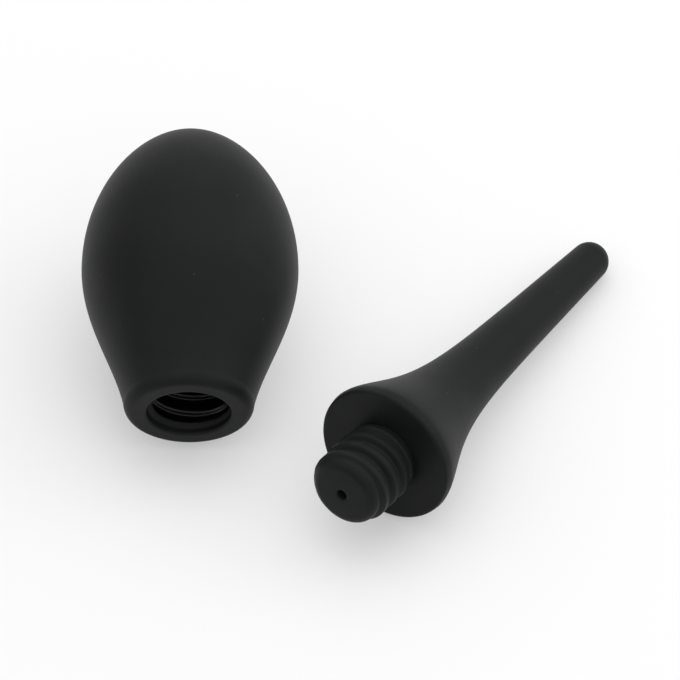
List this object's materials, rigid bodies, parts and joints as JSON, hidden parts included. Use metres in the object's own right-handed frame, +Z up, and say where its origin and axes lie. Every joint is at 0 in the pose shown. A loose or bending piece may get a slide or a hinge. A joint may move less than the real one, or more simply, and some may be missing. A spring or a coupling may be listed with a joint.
{
  "type": "anal douche",
  "caption": "Soft egg-shaped squeeze bulb with a threaded mouth, and a long flared nozzle that screws into it, laid side by side taken apart.",
  "frame": {"origin": "middle of the whole layout in plan, on the table top that both pieces lie on", "axes": "+Z up, +X sideways from the bulb to the nozzle's tip, +Y from the bulb's mouth to its closed end in plan"},
  "size_m": [0.1704, 0.1444, 0.0708],
  "materials": {
    "thread_ring": "glossy black moulded thread",
    "bulb_silicone": "velvety matte black silicone",
    "nozzle_silicone": "velvety matte black silicone"
  },
  "bodies": {
    "neck": {"neck_insert": "thread_ring"},
    "bulb": {"bulb": "bulb_silicone"},
    "nozzle": {"nozzle": "nozzle_silicone"}
  },
  "joints": [
    {"name": "bulb_squeeze", "type": "slide", "parent": "neck", "child": "bulb", "axis": [0, 0, -1], "range_m": [0, 0.016], "stiffness_N_per_m": 600, "springref_m": -0.005, "deforming": ["bulb"]},
    {"name": "nozzle_turn", "type": "hinge", "parent": "neck", "child": "nozzle", "pos_m": [0.01165, -0.04672, 0.02383], "axis": [-0.5464, -0.8255, 0.1417], "range_deg": [0, 1080]}
  ]
}
